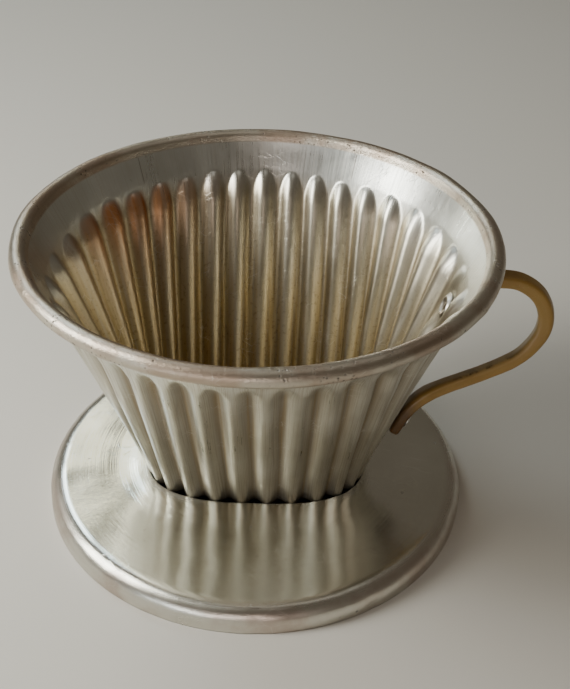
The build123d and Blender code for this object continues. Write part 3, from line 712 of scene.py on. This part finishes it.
mid_r = PLATE_EDGE_R - half
rc, zc0 = PLATE_R - PLATE_EDGE_R, PLATE_EDGE_H - PLATE_EDGE_R
for z in (0.0, 0.35, 0.9, 1.4):
    circle_row(PLATE_R - half, z)
for deg in np.linspace(0, 90, 22):
    a = math.radians(deg)
    circle_row(rc + mid_r * math.cos(a), zc0 + mid_r * math.sin(a))
ox, oy = plate_oval(PLATE_RISE, SLOT_Z)
for f in np.linspace(0, 1, 16)[1:]:
    # from the round edge's inner side to the oval well outside the opening
    r = rc - 2.2 * min(1.0, f * 3)
    w = max(0.0, (f - 1 / 3) / (2 / 3))
    x = circle[:, 0] * r * (1 - w) + ox * w
    y = circle[:, 1] * r * (1 - w) + oy * w
    rows.append(np.stack([x, y, np.full(NP, PLATE_EDGE_H - half)], -1))
    thick.append(half)
# the sheet is drawn thin where it turns down round the cone
g_tab = np.array([8.0, 5.0, 2.4, 0.6])
z_tab = np.array([0, 0.25, 0.62, SLOT_Z - PLATE_EDGE_H]) + PLATE_EDGE_H
thin, nose = 0.18, 0.06
lip_g, lip_z = SLOT_GAP + thin + nose, SLOT_Z - thin - nose
for g in [*np.linspace(PLATE_RISE, 1.0, 12)[1:], 0.75, 0.58, lip_g + 0.03]:
    x, y = plate_oval(g, SLOT_Z)
    t = thin + (half - thin) * min(1.0, max(0.0, (g - lip_g) / 2.2))
    rows.append(np.stack([x, y, np.full(NP, np.interp(-g, -g_tab, z_tab) - t)], -1))
    thick.append(t)
for deg in np.linspace(90, 180, 7):
    a = math.radians(deg)
    x, y = plate_oval(lip_g + nose * math.cos(a), SLOT_Z)
    rows.append(np.stack([x, y, np.full(NP, lip_z + nose * math.sin(a))], -1))
    thick.append(thin)
for z in (6.2, 5.2, 4.3, COLLAR_Z):
    x, y = plate_oval(SLOT_GAP + thin, z)
    rows.append(np.stack([x, y, np.full(NP, z)], -1))
    thick.append(thin)
Q = np.stack(rows)
X, Y, Z = Q[..., 0], Q[..., 1], Q[..., 2]
nrm = grid_normals(Q)
rad = np.hypot(X, Y)
push = (0.07 * lumps(X, Y, Z, 13, 30) + 0.035 * lumps(X, Y, Z, 14, 11)) * np.clip(Z / 3, 0, 1)
r3 = np.random.default_rng(8)
for _ in range(26):
    a, dz = r3.uniform(-math.pi, math.pi), r3.uniform(0.8, 6.0)
    c = np.array([(PLATE_R - 0.6) * math.cos(a), (PLATE_R - 0.6) * math.sin(a), dz])
    size, deep = r3.uniform(0.8, 2.8), r3.uniform(0.05, 0.22)
    push -= deep * np.exp(-((X - c[0]) ** 2 + (Y - c[1]) ** 2 + (Z - c[2]) ** 2) / size**2)
Q = Q + nrm * push[..., None]
RP = Q.shape[0]
X, Y, Z = Q[..., 0], Q[..., 1], Q[..., 2]
rad = np.hypot(X, Y)
gx, gy = plate_oval(SLOT_GAP, SLOT_Z)
to_slot = np.hypot(X - gx[None, :], Y - gy[None, :])
az = np.arctan2(Y, X)
# painted shade: dark in the gap along the edge of the opening and under the collar
below = (rad < 40) & (np.arange(RP)[:, None] >= RP - 5)
grime_and_shade = np.where(below, 0.95, 0.50 * np.exp(-((to_slot / 0.28) ** 2)))
# the old coffee sits thickest at the left end and the corners of the opening
corner = np.exp(-(((X + 22) / 9) ** 2 + ((Y + 14) / 8) ** 2)) + 0.7 * np.exp(-(((X - 22) / 7) ** 2 + ((Y + 14) / 6) ** 2))
grime_and_shade = np.maximum(grime_and_shade, 0.80 * np.clip(corner, 0, 1) * np.exp(-((to_slot / 1.5) ** 2)))
grime_and_shade_top = np.clip(grime_and_shade, 0, 1)
wear = np.clip((rad - 49.5) / 2.5, 0, 1)
polar = np.stack([rad, 45.0 * np.cos(az), 45.0 * np.sin(az)], -1)
# the underside gets an even 0.25 of painted shade
verts, faces, attrs = sheet_mesh(Q, np.array(thick)[:, None, None], {
    "grime_and_shade": (grime_and_shade_top, np.clip(0.25 + 0 * grime_and_shade, 0, 1)),
    "wear": (wear, wear * 0.5),
    "polar": (polar, polar + np.array([200.0, 0, 0])),
})
# the rows run from the outer edge inwards, so the sheet's outer side is the top
plate = make_object("base_plate_shell", verts, faces, PLATE, attrs)

# --------------------------------------------------------------------- handle
STRAP_T, STRAP_W, FOOT_T, FOOT_W = 3.1, 4.6, 2.6, 6.4


def wall_frame(p):
    px, py, pz = p
    uu = on_wall(math.degrees(math.atan2(py, px)), pz)
    a = np.array([*map(float, crest(uu + 0.1, pz)), pz])
    b = np.array([*map(float, crest(uu - 0.1, pz)), pz])
    dn = np.array([*map(float, crest(uu, pz - 0.5)), pz - 0.5])
    tp = np.array([*map(float, crest(uu, pz + 0.5)), pz + 0.5])
    across = (b - a) / np.linalg.norm(b - a)
    upw = (tp - dn) / np.linalg.norm(tp - dn)
    n = np.cross(across, upw)
    n /= np.linalg.norm(n)
    if n @ np.array([px, py, 0]) < 0:
        n = -n
    upw = np.cross(n, across)
    if upw[2] < 0:
        upw = -upw
    return np.array(p), across, upw, n


UPPER, LOWER = wall_frame(PADS[0]), wall_frame(PADS[1])


def foot_point(fr, along_wall, lift):
    return fr[0] + fr[2] * along_wall + fr[3] * lift


lift = FOOT_T / 2 + 0.25
V = lambda x, y, z: np.array([x, y, z], float)
STATIONS = [
    (foot_point(UPPER, -5.0, lift), FOOT_T, FOOT_W, 0),
    (foot_point(UPPER, -2.5, lift), FOOT_T, FOOT_W, 0),
    (foot_point(UPPER, 0.0, lift), FOOT_T, FOOT_W, 0),
    (foot_point(UPPER, 3.2, lift), FOOT_T + 0.1, FOOT_W - 0.3, 0),
    (V(50.5, -1.65, 62.3), 2.9, 5.5, 0),
    (V(53.4, -1.65, 64.2), 3.1, 5.0, 0),
    (V(57.1, -1.7, 64.6), 3.2, 4.7, 0),
    (V(60.2, -1.8, 64.3), 3.2, STRAP_W, 0),
    (V(63.2, -2.0, 63.0), 3.4, STRAP_W, 1),
    (V(65.7, -2.2, 60.9), 3.6, STRAP_W, 2),
    (V(67.5, -2.5, 57.9), 3.8, STRAP_W, 3),
    (V(68.2, -2.8, 54.8), 3.8, STRAP_W, 4),
    (V(67.8, -3.3, 51.5), 3.7, STRAP_W, 6),
    (V(66.1, -3.9, 48.2), 3.5, STRAP_W, 8),
    (V(63.0, -4.6, 44.8), STRAP_T, STRAP_W, 10),
    (V(58.2, -5.4, 42.1), STRAP_T, STRAP_W, 11),
    (V(53.1, -6.1, 39.9), STRAP_T, STRAP_W, 11),
    (V(48.2, -6.7, 38.0), STRAP_T, STRAP_W, 10),
    (V(44.2, -7.2, 36.3), STRAP_T, 5.0, 8),
    (V(41.4, -7.5, 34.7), 3.0, 5.6, 4),
    (foot_point(LOWER, 2.6, lift) + V(0.25, 0, 0), 2.75, FOOT_W - 0.3, 1),
    (foot_point(LOWER, 0.0, lift), FOOT_T, FOOT_W, 0),
    (foot_point(LOWER, -2.4, lift), FOOT_T, FOOT_W, 0),
    (foot_point(LOWER, -4.6, lift), FOOT_T, FOOT_W, 0),
]


def natural_spline(t, y, tq):
    """Natural cubic spline through (t, y), y of any width."""
    n = len(t)
    h = np.diff(t)
    A = np.zeros((n, n))
    B = np.zeros((n, y.shape[1]))
    A[0, 0] = A[-1, -1] = 1
    for i in range(1, n - 1):
        A[i, i - 1], A[i, i], A[i, i + 1] = h[i - 1], 2 * (h[i - 1] + h[i]), h[i]
        B[i] = 6 * ((y[i + 1] - y[i]) / h[i] - (y[i] - y[i - 1]) / h[i - 1])
    M = np.linalg.solve(A, B)
    i = np.clip(np.searchsorted(t, tq, side="right") - 1, 0, n - 2)
    a, b = (t[i + 1] - tq)[:, None], (tq - t[i])[:, None]
    hh = h[i][:, None]
    return (M[i] * a**3 + M[i + 1] * b**3) / (6 * hh) + (y[i] / hh - M[i] * hh / 6) * a + (y[i + 1] / hh - M[i + 1] * hh / 6) * b


pts = np.array([s[0] for s in STATIONS])
knots = np.concatenate([[0], np.cumsum(np.linalg.norm(np.diff(pts, axis=0), axis=1))])
info = np.array([[s[1], s[2], s[3]] for s in STATIONS], float)
L = knots[-1]
edge_cap = 1.7
s1 = np.linspace(0, edge_cap, 9)
sq = np.concatenate([s1, np.linspace(edge_cap, L - edge_cap, 190)[1:-1], L - s1[::-1]])
line = natural_spline(knots, pts, sq)
ext = np.stack([np.interp(sq, knots, info[:, k]) for k in range(3)], -1)
way = np.gradient(line, axis=0)
way /= np.linalg.norm(way, axis=1, keepdims=True)
tt = sq / L
width = UPPER[1][None, :] * (1 - tt)[:, None] + LOWER[1][None, :] * tt[:, None]
width -= way * (width * way).sum(1, keepdims=True)
width /= np.linalg.norm(width, axis=1, keepdims=True)
roll = np.radians(ext[:, 2])[:, None]
thick_dir = np.cross(way, width)
width, thick_dir = width * np.cos(roll) + thick_dir * np.sin(roll), thick_dir * np.cos(roll) - width * np.sin(roll)
NS = 44
th = TAU * (np.arange(NS) + 0.5) / NS
# rounded-rectangle section: superellipse with flat faces
cs, sn = np.cos(th), np.sin(th)
sec_w = np.sign(cs) * np.abs(cs) ** (2 / 4.2)
sec_t = np.sign(sn) * np.abs(sn) ** (2 / 3.4)
end = np.minimum(sq, L - sq)
shrink_w = np.where(end < edge_cap, edge_cap - np.sqrt(np.clip(edge_cap**2 - (edge_cap - end) ** 2, 0, None)), 0.0)
shrink_t = np.where(end < 0.5, 0.5 - np.sqrt(np.clip(0.25 - (0.5 - end) ** 2, 0, None)), 0.0)
W = (ext[:, 1] / 2 - shrink_w)[:, None] * sec_w[None, :]
T = (ext[:, 0] / 2 - shrink_t)[:, None] * sec_t[None, :]
H = line[:, None, :] + width[:, None, :] * W[..., None] + thick_dir[:, None, :] * T[..., None]
hx, hy, hz = H[..., 0], H[..., 1], H[..., 2]
wob = 0.05 * lumps(hx, hy, hz, 31, 14) + 0.02 * lumps(hx, hy, hz, 32, 4)
H = H + (H - line[:, None, :]) / 2.2 * wob[..., None]
RH = len(sq)
hv = np.concatenate([H.reshape(-1, 3), line[:1], line[-1:]])
hf = ring_faces(RH, NS, flip=True)
k0, k1 = RH * NS, RH * NS + 1
for j in range(NS):
    hf.append((k0, (j + 1) % NS, j))
    hf.append((k1, (RH - 1) * NS + j, (RH - 1) * NS + (j + 1) % NS))
# which way is in: towards the middle of the loop
loop_mid = V(57.0, -3.5, 53.5)
to_mid = loop_mid[None, :] - line
inn = (thick_dir * to_mid).sum(1)
face_in = np.sign(inn)[:, None] * sn[None, :]
# painted light mask: the inner face, away from both ends
inner = np.clip(face_in * 1.3 - 0.3, 0, 1) * np.clip((sq - 14) / 10, 0, 1)[:, None] * np.clip((L - 14 - sq) / 10, 0, 1)[:, None]
lower_arm = np.exp(-(((sq - (knots[16] + knots[15]) / 2) / 9.0) ** 4))
dirt = lower_arm[:, None] * np.exp(-(((face_in - 0.80) / 0.16) ** 2)) * np.where(W < 0, 1.0, 0.6)
# painted shade towards the lower foot, against the cone
near_foot = np.clip((12.5 - (L - sq)) / 5, 0, 1)
foot_shade = np.broadcast_to(near_foot[:, None], (RH, NS)) * 1.0
hflow = np.stack([W + 0 * T, np.broadcast_to(sq[:, None], (RH, NS)), T], -1)
pad2 = lambda a: np.concatenate([a.reshape(-1), a.reshape(-1)[:1], a.reshape(-1)[-1:]])
hattrs = {
    "inner": pad2(inner),
    "dirt": pad2(np.clip(dirt, 0, 1)),
    "foot_shade": pad2(foot_shade),
    "flow": np.concatenate([hflow.reshape(-1, 3), hflow.reshape(-1, 3)[:1], hflow.reshape(-1, 3)[-1:]]),
}
handle = make_object("handle_strap", hv, hf, HANDLE, hattrs)


# --------------------------------------------------------------------- rivets
def rivet(name, fr, seed):
    grip_in, grip_out = -(SHEET + 0.2), FOOT_T + 0.31
    head_r, head_h, cl_r, cl_h, sh = 3.4, 0.9, 2.2, 0.7, 1.2
    prof = []
    # the head inside the cone: low dome, with the setting tool's shallow ring
    for k in range(27):
        r = head_r * k / 26 * 0.93
        ring = math.exp(-(((r - 2.2) / 0.62) ** 2))
        z = grip_in - (0.42 + 0.46 * ring if r < 2.2 else 0.28 + 0.60 * ring) - 0.14 * math.exp(-((r / 0.55) ** 2))
        prof.append((r, z))
    for k in range(7):
        a = math.radians(-70 + 140 * k / 6)
        prof.append((head_r - 0.16 + 0.16 * math.cos(a), grip_in - 0.17 + 0.16 * math.sin(a)))
    prof += [(sh + 0.05, grip_in), (sh, grip_in + 0.1), (sh, grip_out - 0.1), (sh + 0.05, grip_out)]
    for k in range(5):
        a = math.radians(-70 + 110 * k / 4)
        prof.append((cl_r - 0.15 + 0.15 * math.cos(a), grip_out + 0.15 + 0.15 * math.sin(a)))
    for k in range(9):
        r = cl_r * 0.9 * (1 - k / 8)
        z = grip_out + cl_h - (cl_h - 0.28) * (r / cl_r) ** 2.2 - 0.12 * math.exp(-((r / 0.6) ** 2))
        prof.append((r, z))
    n = 48
    rr = np.random.default_rng(seed)
    ph = rr.uniform(0, TAU, 3)
    v, rings = [], []
    o, ax, upw, nz = fr
    for r, z in prof:
        if r < 1e-6:
            rings.append([len(v)])
            v.append(o + nz * z)
            continue
        ids = []
        for j in range(n):
            a = TAU * j / n
            rad_ = r * (1 + 0.012 * math.sin(2 * a + ph[0]) + 0.008 * math.sin(3 * a + ph[1]))
            ids.append(len(v))
            v.append(o + nz * z + (ax * math.cos(a) + upw * math.sin(a)) * rad_)
        rings.append(ids)
    f = []
    for A, B in zip(rings, rings[1:]):
        if len(A) == 1:
            f += [(A[0], B[(j + 1) % n], B[j]) for j in range(n)]
        elif len(B) == 1:
            f += [(A[j], A[(j + 1) % n], B[0]) for j in range(n)]
        else:
            f += [(A[j], A[(j + 1) % n], B[(j + 1) % n], B[j]) for j in range(n)]
    ob = make_object(name, np.array(v), f, RIVET)
    import bmesh
    bm = bmesh.new()
    bm.from_mesh(ob.data)
    bmesh.ops.recalc_face_normals(bm, faces=bm.faces)
    bm.to_mesh(ob.data)
    bm.free()
    return ob


rivet_u = rivet("handle_rivet_upper_head", UPPER, 41)
rivet_l = rivet("handle_rivet_lower_head", LOWER, 42)

for ob, node, slot in (
    (cone, "filter_cone", "cone_aluminium"),
    (cone_floor, "filter_cone", "cone_aluminium"),
    (plate, "base_plate", "plate_aluminium"),
    (handle, "handle", "handle_plastic"),
    (rivet_u, "handle_rivet_upper", "rivet_aluminium"),
    (rivet_l, "handle_rivet_lower", "rivet_aluminium"),
):
    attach(ob, "root")
    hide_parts(node)

# ---------------------------------------------------------------------- stage
me = bpy.data.meshes.new("floor")
s = 6.0
me.from_pydata([(-s, -s, 0), (s, -s, 0), (s, s, 0), (-s, s, 0)], [], [(0, 1, 2, 3)])
me.materials.append(floor_material())
floor = bpy.data.objects.new("floor", me)
bpy.context.scene.collection.objects.link(floor)


def area_light(name, where, at, size, power, colour):
    data = bpy.data.lights.new(name, "AREA")
    data.shape = "RECTANGLE"
    data.size, data.size_y = size
    data.energy = power
    data.color = colour
    ob = bpy.data.objects.new(name, data)
    ob.location = where
    ob.rotation_euler = (Vector(at) - Vector(where)).to_track_quat("-Z", "Y").to_euler()
    bpy.context.scene.collection.objects.link(ob)
    return ob


area_light("key_left", (-0.38, -0.06, 0.29), (-0.02, 0, 0.03), (0.18, 0.30), 2.35, (1.0, 0.985, 0.91))
area_light("window_left_back", (-0.40, 0.50, 0.60), (0, 0, 0.05), (0.24, 0.32), 1.5, (0.80, 0.93, 1.0))
area_light("plate_light", (-0.26, 0.60, 0.50), (-0.02, 0, 0), (0.24, 0.16), 0.36, (1.0, 0.96, 0.74))
area_light("front_fill", (-0.16, -0.85, 0.24), (0, 0, 0.05), (0.50, 0.20), 1.0, (1.0, 0.85, 0.77))
area_light("front_low", (-0.42, -0.62, 0.14), (0, 0, 0.03), (0.20, 0.14), 0.60, (0.88, 0.96, 1.0))
area_light("soft_top", (0.10, 0.05, 0.9), (0, 0, 0), (0.5, 0.5), 0.35, (1.0, 0.96, 0.88))

world = bpy.data.worlds.new("studio")
world.use_nodes = True
bg = world.node_tree.nodes["Background"]
bg.inputs["Color"].default_value = (0.29, 0.245, 0.19, 1)
bg.inputs["Strength"].default_value = 0.38
bpy.context.scene.world = world

# --------------------------------------------------------------------- camera
cam_data = bpy.data.cameras.new("camera")
cam_data.sensor_fit = "AUTO"
cam_data.sensor_width = 36.0
cam_data.lens = 1083.0 / 689.0 * 36.0
cam_data.clip_start, cam_data.clip_end = 0.01, 20
cam = bpy.data.objects.new("camera", cam_data)
e, r = math.radians(35.28), math.radians(1.68)
right, upv = Vector((1, 0, 0)), Vector((0, math.sin(e), math.cos(e)))
fwd = Vector((0, math.cos(e), -math.sin(e)))
r2_ = right * math.cos(r) + upv * math.sin(r)
u2_ = upv * math.cos(r) - right * math.sin(r)
m3 = Matrix((r2_, u2_, -fwd)).transposed()
cam.matrix_world = Matrix.Translation((0.120 * 0.056, -3.866 * 0.056, 3.502 * 0.056)) @ m3.to_4x4()
bpy.context.scene.collection.objects.link(cam)
bpy.context.scene.camera = cam

bpy.context.view_layer.update()
